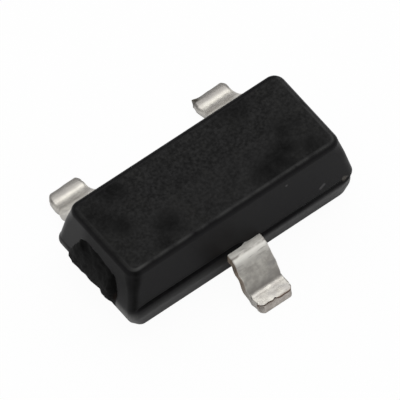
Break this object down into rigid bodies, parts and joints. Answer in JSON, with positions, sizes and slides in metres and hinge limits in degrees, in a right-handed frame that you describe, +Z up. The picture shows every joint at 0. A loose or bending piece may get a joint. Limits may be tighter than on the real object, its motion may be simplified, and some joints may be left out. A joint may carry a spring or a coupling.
{
  "type": "small-outline transistor",
  "caption": "Moulded black surface-mount transistor with a single collector lead on one side, base and emitter leads on the other, and a wire-bonded chip inside.",
  "frame": {"origin": "on the seating plane under the feet, midway between the two rows of feet and midway between the base and emitter leads", "axes": "+Z up from the seating plane to the top of the body, X along the body's length, collector lead towards -Y, base and emitter leads towards +Y, broken mould gate on the -X end"},
  "size_m": [0.003, 0.0024, 0.001],
  "materials": {
    "moulding_compound": "matte black filled epoxy, satin on the walls",
    "tinned_lead": "satin tin plating over copper alloy, bare at the cut ends",
    "die_solder": "dull metallic attach layer",
    "silicon": "polished dark grey silicon",
    "bond_wire": "bright gold-coloured wire"
  },
  "bodies": {
    "root": {"moulded_body": "moulding_compound", "collector_lead": "tinned_lead", "base_lead": "tinned_lead", "emitter_lead": "tinned_lead", "die_attach": "die_solder", "silicon_die": "silicon", "base_wire": "bond_wire", "emitter_wire": "bond_wire"}
  },
  "joints": []
}
